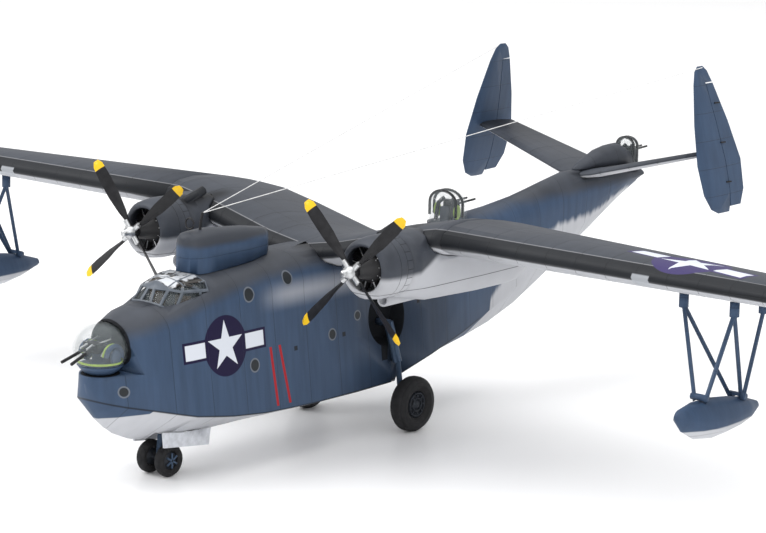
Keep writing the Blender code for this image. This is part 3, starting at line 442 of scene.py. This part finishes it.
def bare_metal():
    return ready("bare metal", plain_finish, "bare metal", (0.55, 0.56, 0.57), 0.28, 0.9, 1.2)


# Pieces


def at(x, y, z):
    return Vector((x, y - MIDDLE_Y, z)) * MM


def pick(obj):
    bpy.ops.object.select_all(action="DESELECT")
    obj.select_set(True)
    bpy.context.view_layer.objects.active = obj


def carry(obj, name, body, finish):
    """Settles a finished piece at the origin and hands it to the body that it rides on."""
    pick(obj)
    bpy.ops.object.transform_apply(location=True, rotation=True, scale=True)
    obj.name = obj.data.name = name
    obj.data.materials.clear()
    obj.data.materials.append(finish)
    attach(obj, body)


def dress(node, finish, angle=32.0):
    """A merged, smoothly shaded copy of a CAD solid, which stands for it."""
    source = frame["nodes"][node]
    obj = bpy.data.objects.new(f"{node}_skin", source.data.copy())
    bpy.context.scene.collection.objects.link(obj)
    pick(obj)
    bpy.ops.object.mode_set(mode="EDIT")
    bpy.ops.mesh.select_all(action="SELECT")
    bpy.ops.mesh.remove_doubles(threshold=0.000005)
    bpy.ops.object.mode_set(mode="OBJECT")
    bpy.ops.object.shade_smooth_by_angle(angle=math.radians(angle))
    carry(obj, f"{node}_skin", source["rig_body"], finish)
    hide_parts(node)


def tube(name, points, radius, body, finish, sides=3):
    """A round bar that follows points, closed at both ends."""
    curve = bpy.data.curves.new(name, "CURVE")
    curve.dimensions = "3D"
    curve.bevel_depth = radius * MM
    curve.bevel_resolution = sides
    curve.use_fill_caps = True
    spline = curve.splines.new("POLY")
    spline.points.add(len(points) - 1)
    for point, place in zip(spline.points, points):
        point.co = (*at(*place), 1.0)
    obj = bpy.data.objects.new(name, curve)
    bpy.context.scene.collection.objects.link(obj)
    pick(obj)
    bpy.ops.object.convert(target="MESH")
    obj = bpy.context.view_layer.objects.active
    bpy.ops.object.mode_set(mode="EDIT")
    bpy.ops.mesh.select_all(action="SELECT")
    bpy.ops.mesh.remove_doubles(threshold=0.000001)
    bpy.ops.mesh.normals_make_consistent(inside=False)
    bpy.ops.object.mode_set(mode="OBJECT")
    bpy.ops.object.shade_smooth_by_angle(angle=math.radians(40))
    carry(obj, name, body, finish)


def plate(name, centre, radii, body, finish, sides=28):
    """A thin oval plate across the model with a raised middle and rounded edges."""
    bpy.ops.object.select_all(action="DESELECT")
    sideways = (0.0, math.pi / 2, 0.0)
    bpy.ops.mesh.primitive_cylinder_add(
        vertices=sides, radius=1.0, depth=2.0, location=(0, 0, 0), rotation=sideways
    )
    obj = bpy.context.view_layer.objects.active
    bpy.ops.object.transform_apply(location=True, rotation=True, scale=True)
    obj.scale = Vector(radii) * MM
    obj.location = at(*centre)
    bpy.ops.object.transform_apply(location=True, rotation=True, scale=True)
    bpy.ops.object.mode_set(mode="EDIT")
    bpy.ops.mesh.select_mode(type="FACE")
    bpy.ops.mesh.select_all(action="DESELECT")
    bpy.ops.object.mode_set(mode="OBJECT")
    for face in obj.data.polygons:
        face.select = abs(face.normal.x) > 0.9
    bpy.ops.object.mode_set(mode="EDIT")
    bpy.ops.mesh.inset(thickness=min(radii[1:]) * 0.22 * MM, use_individual=True)
    bpy.ops.mesh.extrude_region_shrink_fatten(TRANSFORM_OT_shrink_fatten={"value": 0.12 * MM})
    bpy.ops.mesh.select_all(action="SELECT")
    bpy.ops.mesh.normals_make_consistent(inside=False)
    bpy.ops.object.mode_set(mode="OBJECT")
    bevel = obj.modifiers.new("rounded", "BEVEL")
    bevel.width, bevel.segments = 0.1 * MM, 2
    bpy.ops.object.modifier_apply(modifier=bevel.name)
    bpy.ops.object.shade_smooth_by_angle(angle=math.radians(35))
    carry(obj, name, body, finish)


def arc(centre, radius, first, last, plane, steps=18):
    """Points round part of a circle: plane gives the two directions that it lies in."""
    u, v, centre = Vector(plane[0]), Vector(plane[1]), Vector(centre)
    turns = [math.radians(first + (last - first) * i / steps) for i in range(steps + 1)]
    return [tuple(centre + u * radius * math.cos(t) + v * radius * math.sin(t)) for t in turns]


def outward(degrees):
    """The direction at an angle round a lengthwise axle, from straight up."""
    turn = math.radians(degrees)
    return Vector((math.sin(turn), 0.0, math.cos(turn)))


def paint_hull():
    dress("hull", ready("hull paint", hull_finish), 26.0)
    dress("radome", ready("radome paint", blue_finish, "radome paint", None, 80.5))
    doors = ready("door paint", plain_finish, "door paint", (0.6, 0.62, 0.66), 0.45)
    for label in SIDES:
        dress(f"nose_gear_door_{label}", doors)


def paint_wings():
    finish = ready("wing paint", wing_finish)
    for node in ("wing_centre_section", "wing_outer_left", "wing_outer_right", "tailplane"):
        dress(node, finish, 40.0)


def paint_tail():
    fins = ready("fin paint", blue_finish, "fin paint")
    black = black_fittings()
    dress("tail_fairing", ready("deck paint", dark_finish), 50.0)
    for label, side in SIDES.items():
        dress(f"fin_{label}", fins)
        dress(f"rudder_{label}", fins)
        for i, up in enumerate((-12.0, 4.0, 20.0)):
            x, z = side * (FIN_X - up * 0.225 + 1.0), FIN_Z + up * 0.974
            points = [(x, 304.6, z), (x + side * 0.5, 307.4, z)]
            tube(f"hinge_arm_{label}_{i}", points, 0.32, "airframe", black)


def paint_floats():
    blue = ready("strut paint", blue_finish, "strut paint")
    float_blue = ready("float paint", blue_finish, "float paint", 34.4)
    for label in SIDES:
        dress(f"float_{label}", float_blue, 45.0)
        dress(f"float_struts_{label}", blue, 40.0)


def paint_engines():
    nacelle = ready("nacelle paint", nacelle_finish)
    blades = ready("propeller paint", blade_finish)
    silver = bare_metal()
    block = ready("engine black", plain_finish, "engine black", (0.02, 0.02, 0.022), 0.42, 0.3, 0.8)
    for label, side in SIDES.items():
        dress(f"nacelle_{label}", nacelle, 40.0)
        dress(f"cowling_{label}", nacelle, 40.0)
        dress(f"engine_{label}", block)
        dress(f"propeller_{label}", blades)
        dress(f"propeller_hub_{label}", silver)
        for i in range(CYLINDERS):
            out = outward(360.0 / CYLINDERS * i)
            bank = Vector((side * HUB_X, 91.4, HUB_Z))
            rod = [tuple(bank + out * 3.2 - Vector((0, 0.8, 0))), tuple(bank + out * 8.4)]
            tube(f"push_rod_{label}_{i}", rod, 0.22, "airframe", silver, 2)
        for i in range(BLADES):
            out = outward(FIRST_BLADE[label] + 360.0 / BLADES * i)
            hub = Vector((side * HUB_X, HUB_Y - 1.0, HUB_Z))
            cuff = [tuple(hub + out * reach) for reach in (1.2, 3.0, 5.0)]
            tube(f"blade_cuff_{label}_{i}", cuff, 0.95, f"propeller_{label}", silver)


def paint_turrets():
    glass = ready("clear plastic", clear_finish)
    blue = ready("turret blue", blue_finish, "turret blue")
    deck = ready("deck paint", dark_finish)
    black = black_fittings()
    green = ready("primer green", plain_finish, "primer green", (0.32, 0.45, 0.08), 0.5)
    for name, base in (("bow_turret", blue), ("top_turret", deck), ("tail_turret", deck)):
        dress(f"{name}_base", base)
        dress(f"{name}_dome", glass, 50.0)
        dress(f"{name}_guns", black)
    silver = bare_metal()
    dress_bow_turret(blue, green, silver, black)
    panels = {"top_turret": green, "tail_turret": black}
    gears = (("top_turret", TOP_TURRET_Y, 70.2, 78.6, 3.6), ("tail_turret", TAIL_TURRET_Y, 78.4, 86.4, 2.5))
    for name, y, low, high, spread in gears:
        for label, side in SIDES.items():
            gear = [
                (side * spread, y - 2.4, low),
                (side * spread, y - 1.0, high - 2.0),
                (side * spread * 0.6, y + 1.0, high),
            ]
            tube(f"{name}_gear_{label}", gear, 0.8, name, black)
            centre, radii = (side * (spread + 1.2), y, low + 3.4), (0.35, 2.0, 2.9)
            plate(f"{name}_panel_{label}", centre, radii, name, panels[name])
    arches = (("top_turret", TOP_TURRET_Y, 7.0, 71.9, 82.3), ("tail_turret", TAIL_TURRET_Y, 4.55, 79.4, 90.2))
    for name, y, radius, low, top in arches:
        for i, shift in enumerate((-0.4, 0.1)):
            station = y + shift * radius
            half = math.sqrt(radius * radius - (shift * radius) ** 2)
            rise = top - 0.25 - half * 0.75
            sides = [(half, station, low), (half, station, rise)]
            crown = [
                (half * math.cos(t), station, rise + half * 0.72 * math.sin(t))
                for t in [j * math.pi / 12 for j in range(1, 12)]
            ]
            back = [(-px, py, pz) for px, py, pz in reversed(sides)]
            tube(f"{name}_arch_{i}", sides + crown + back, 0.55, name, black)


def dress_bow_turret(blue, green, silver, black):
    """The ring, side arches, plates and gun gear that show through the bow turret's dome."""
    rider = "bow_turret"
    ring = arc((0, BOW_TURRET_Y, 45.6), 7.4, 0, 360, (ACROSS, ALONG), 36)
    tube("bow_turret_green_ring", ring, 0.4, rider, green)
    sideways = (ALONG, UPRIGHT)
    for label, side in SIDES.items():
        for shade, x, reach, thick, paint in (("blue", 6.1, 3.6, 0.9, blue), ("green", 4.9, 4.0, 0.45, green)):
            points = arc((side * x, 12.0, 47.8), reach, -12, 176, sideways)
            tube(f"bow_turret_{shade}_arch_{label}", points, thick, rider, paint)
        centre, radii = (side * 6.8, 12.1, 47.6), (0.5, 2.1, 2.9)
        plate(f"bow_turret_cheek_{label}", centre, radii, rider, blue)
        for i, drop in enumerate((0.0, 1.5)):
            feed = arc((side * (2.6 + drop), 10.6, 49.0 - drop), 2.6, 20, 165, sideways)
            tube(f"bow_turret_feed_{label}_{i}", feed, 0.42, rider, silver if i else black)
        rail = [(side * 1.9, 6.4, 51.9), (side * 3.0, 13.6, 53.2)]
        tube(f"bow_turret_rail_{label}", rail, 0.3, rider, silver)
        cradle = [(side * 1.1, 7.4, 52.2), (side * 1.5, 3.6, 51.0)]
        tube(f"bow_turret_cradle_{label}", cradle, 0.4, rider, silver)


def paint_cockpit():
    dress("canopy", ready("canopy paint", canopy_finish), 25.0)
    dress("canopy_glass", ready("clear plastic", clear_finish), 25.0)
    brown = ready("seat brown", plain_finish, "seat brown", (0.10, 0.06, 0.03), 0.6)
    for label in SIDES:
        dress(f"seat_{label}", brown)


def paint_gear():
    rubber = ready("tyre", tyre_finish)
    wheel = ready("wheel black", plain_finish, "wheel black", (0.02, 0.024, 0.032), 0.4)
    leg = ready("leg paint", plain_finish, "leg paint", (0.05, 0.08, 0.13), 0.42)
    metal = bare_metal()
    finishes = {"main_tyre": rubber, "main_wheel": wheel, "main_gear_leg": leg, "nose_tyre": rubber}
    for label, side in SIDES.items():
        for node, finish in finishes.items():
            dress(f"{node}_{label}", finish, 30.0)
        for i, radius in enumerate((4.3, 2.4)):
            centre = (side * (WHEEL_X + 2.3), WHEEL_Y, WHEEL_Z)
            ring = arc(centre, radius, 0, 360, (ALONG, UPRIGHT), 28)
            tube(f"wheel_ring_{label}_{i}", ring, 0.28, f"main_wheel_{label}", wheel)
        for i in range(WHEEL_BOLTS):
            turn = math.radians(360.0 / WHEEL_BOLTS * i)
            y, z = WHEEL_Y + 3.35 * math.sin(turn), WHEEL_Z + 3.35 * math.cos(turn)
            centre, radii = (side * (WHEEL_X + 2.2), y, z), (0.35, 0.42, 0.42)
            plate(f"wheel_bolt_{label}_{i}", centre, radii, f"main_wheel_{label}", wheel, 12)
        oleo = [(side * 20.4, 148.6, 21.0), (side * 20.4, 149.8, 12.0)]
        tube(f"leg_oleo_{label}", oleo, 0.8, "airframe", metal)
    dress("nose_wheels", wheel)
    for label, side in SIDES.items():
        for i in range(NOSE_SPOKES):
            turn = math.radians(360.0 / NOSE_SPOKES * i)
            across, upward = math.sin(turn), math.cos(turn)
            spoke = [
                (side * 6.0, NOSE_WHEEL_Y + reach * across, NOSE_WHEEL_Z + reach * upward)
                for reach in (0.5, 2.7)
            ]
            tube(f"nose_spoke_{label}_{i}", spoke, 0.35, "nose_wheels", leg, 2)
    dress("nose_gear_leg", leg)


def string_aerials():
    white = ready("aerial wire", plain_finish, "aerial wire", (0.7, 0.7, 0.7), 0.5)
    black = black_fittings()
    thick = settings().wire_radius * 1000.0
    mast = [(0, 60.6, 84.0), (0, 61.0, 87.0), (0, MAST_Y, 90.4)]
    tube("aerial_mast", mast, 0.5, "airframe", black)
    loop = arc((0, 55.4, 87.2), 1.9, 0, 340, (ACROSS, UPRIGHT))
    tube("direction_loop", loop, 0.3, "airframe", black)
    for label, side in SIDES.items():
        ends = [(0, MAST_Y, MAST_TOP), (side * 50.2, 299.6, 125.8)]
        tube(f"aerial_wire_{label}", ends, thick, "airframe", white, 2)


LAMPS = (  # name, place in metres, width in metres and power in watts
    ("key", (-1.1, -1.0, 1.5), 1.3, 26.0),
    ("fill", (1.6, -1.2, 1.1), 1.8, 14.0),
    ("top", (0.1, 0.2, 2.0), 2.2, 22.0),
)
CAMERA_TURN, CAMERA_RISE, CAMERA_ROLL = (math.radians(d) for d in (39.09, 11.23, 1.26))
CAMERA_PLACE = (0.67777, -0.83715, 0.27045)  # metres
CAMERA_SENSOR, CAMERA_LENS = 36.0, 136.34


def light_stage():
    """A pale floor, soft light and a camera where the photograph was taken from."""
    bpy.ops.mesh.primitive_plane_add(size=30.0, location=(0, 0, 0))
    floor = bpy.context.view_layer.objects.active
    floor.name = "floor"
    p = Paint("floor paper")
    floor.data.materials.append(p.finish((0.93, 0.93, 0.935), 0.35, p.noise(60.0), 0.01))
    for name, place, size, power in LAMPS:
        bpy.ops.object.light_add(type="AREA", location=place)
        lamp = bpy.context.view_layer.objects.active
        lamp.name, lamp.data.size, lamp.data.energy = name, size, power
        lamp.rotation_euler = (Vector((0, 0, 0.05)) - Vector(place)).to_track_quat("-Z", "Y").to_euler()
    world = bpy.data.worlds.new("studio")
    world.use_nodes = True
    world.node_tree.nodes["Background"].inputs[0].default_value = (1.0, 1.0, 1.0, 1.0)
    world.node_tree.nodes["Background"].inputs[1].default_value = 0.75
    bpy.context.scene.world = world
    bpy.context.scene.view_settings.view_transform = "Standard"
    turn, rise, roll = CAMERA_TURN, CAMERA_RISE, CAMERA_ROLL
    back = Vector((math.sin(turn) * math.cos(rise), -math.cos(turn) * math.cos(rise), math.sin(rise)))
    right = Vector((math.cos(turn), math.sin(turn), 0))
    up = back.cross(right)
    across = math.cos(roll) * right + math.sin(roll) * up
    level = -math.sin(roll) * right + math.cos(roll) * up
    camera = bpy.data.objects.new("camera", bpy.data.cameras.new("camera"))
    bpy.context.scene.collection.objects.link(camera)
    pose = Matrix((across, level, back)).transposed().to_4x4()
    pose.translation = Vector(CAMERA_PLACE)
    camera.matrix_world = pose
    camera.data.sensor_width, camera.data.lens = CAMERA_SENSOR, CAMERA_LENS
    camera.data.clip_start = 0.01
    bpy.context.scene.camera = camera


# Add-on


class FlyingBoatSettings(bpy.types.PropertyGroup):
    """The model's paints and fine sizes."""

    sea_blue: bpy.props.FloatVectorProperty(
        name="Sea Blue", description="Paint on the sides", default=(0.037, 0.064, 0.116), subtype="COLOR"
    )
    deck_grey: bpy.props.FloatVectorProperty(
        name="Deck Grey", description="Paint on top", default=(0.040, 0.045, 0.056), subtype="COLOR"
    )
    belly_white: bpy.props.FloatVectorProperty(
        name="Belly White", description="Paint underneath", default=(0.50, 0.51, 0.54), subtype="COLOR"
    )
    tip_yellow: bpy.props.FloatVectorProperty(
        name="Tip Yellow", description="Paint on the blade tips", default=(0.80, 0.50, 0.02), subtype="COLOR"
    )
    insignia_blue: bpy.props.FloatVectorProperty(
        name="Marking Blue",
        description="Field of the hull's round markings",
        default=(0.004, 0.001, 0.028),
        subtype="COLOR",
    )
    wire_radius: bpy.props.FloatProperty(
        name="Aerial Radius", description="Half the aerial wire's thickness", default=0.00016, unit="LENGTH"
    )


class FLYINGBOAT_OT_hull(bpy.types.Operator):
    """Paint the hull, the raised housing and the nose doors"""

    bl_idname = "flying_boat.hull"
    bl_label = "Hull"

    def execute(self, context):
        paint_hull()
        return {"FINISHED"}


class FLYINGBOAT_OT_wings(bpy.types.Operator):
    """Paint the wing and the tailplane"""

    bl_idname = "flying_boat.wings"
    bl_label = "Wings"

    def execute(self, context):
        paint_wings()
        return {"FINISHED"}


class FLYINGBOAT_OT_tail(bpy.types.Operator):
    """Paint the fins and rudders and add their hinge arms"""

    bl_idname = "flying_boat.tail"
    bl_label = "Tail"

    def execute(self, context):
        paint_tail()
        return {"FINISHED"}


class FLYINGBOAT_OT_floats(bpy.types.Operator):
    """Paint the floats and their struts"""

    bl_idname = "flying_boat.floats"
    bl_label = "Floats"

    def execute(self, context):
        paint_floats()
        return {"FINISHED"}


class FLYINGBOAT_OT_engines(bpy.types.Operator):
    """Paint the nacelles and propellers and add push rods and blade cuffs"""

    bl_idname = "flying_boat.engines"
    bl_label = "Engines"

    def execute(self, context):
        paint_engines()
        return {"FINISHED"}


class FLYINGBOAT_OT_turrets(bpy.types.Operator):
    """Dress the gun turrets and add their frames and gear"""

    bl_idname = "flying_boat.turrets"
    bl_label = "Turrets"

    def execute(self, context):
        paint_turrets()
        return {"FINISHED"}


class FLYINGBOAT_OT_cockpit(bpy.types.Operator):
    """Paint the cockpit frame, its panes and its seats"""

    bl_idname = "flying_boat.cockpit"
    bl_label = "Cockpit"

    def execute(self, context):
        paint_cockpit()
        return {"FINISHED"}


class FLYINGBOAT_OT_gear(bpy.types.Operator):
    """Dress the wheels and legs and add rings, bolts and spokes"""

    bl_idname = "flying_boat.gear"
    bl_label = "Landing Gear"

    def execute(self, context):
        paint_gear()
        return {"FINISHED"}


class FLYINGBOAT_OT_aerials(bpy.types.Operator):
    """Add the mast, the loop and the two wires"""

    bl_idname = "flying_boat.aerials"
    bl_label = "Aerials"

    def execute(self, context):
        string_aerials()
        return {"FINISHED"}


class FLYINGBOAT_OT_stage(bpy.types.Operator):
    """Add the floor, the lights and the camera"""

    bl_idname = "flying_boat.stage"
    bl_label = "Stage"

    def execute(self, context):
        light_stage()
        return {"FINISHED"}


BUTTONS = (
    FLYINGBOAT_OT_hull,
    FLYINGBOAT_OT_wings,
    FLYINGBOAT_OT_tail,
    FLYINGBOAT_OT_floats,
    FLYINGBOAT_OT_engines,
    FLYINGBOAT_OT_turrets,
    FLYINGBOAT_OT_cockpit,
    FLYINGBOAT_OT_gear,
    FLYINGBOAT_OT_aerials,
    FLYINGBOAT_OT_stage,
)


class FLYINGBOAT_PT_panel(bpy.types.Panel):
    """Lists the model's pieces."""

    bl_label = "Flying Boat"
    bl_space_type = "VIEW_3D"
    bl_region_type = "UI"
    bl_category = "Flying Boat"

    def draw(self, context):
        for button in BUTTONS:
            self.layout.operator(button.bl_idname)


def register():
    for item in (FlyingBoatSettings, *BUTTONS, FLYINGBOAT_PT_panel):
        bpy.utils.register_class(item)
    bpy.types.Scene.flying_boat = bpy.props.PointerProperty(type=FlyingBoatSettings)


def unregister():
    del bpy.types.Scene.flying_boat
    for item in (FLYINGBOAT_PT_panel, *reversed(BUTTONS), FlyingBoatSettings):
        bpy.utils.unregister_class(item)


def main():
    register()
    for button in BUTTONS:
        name = button.bl_idname.split(".")[1]
        getattr(bpy.ops.flying_boat, name)()
    bpy.context.view_layer.update()


if __name__ == "__main__":
    main()
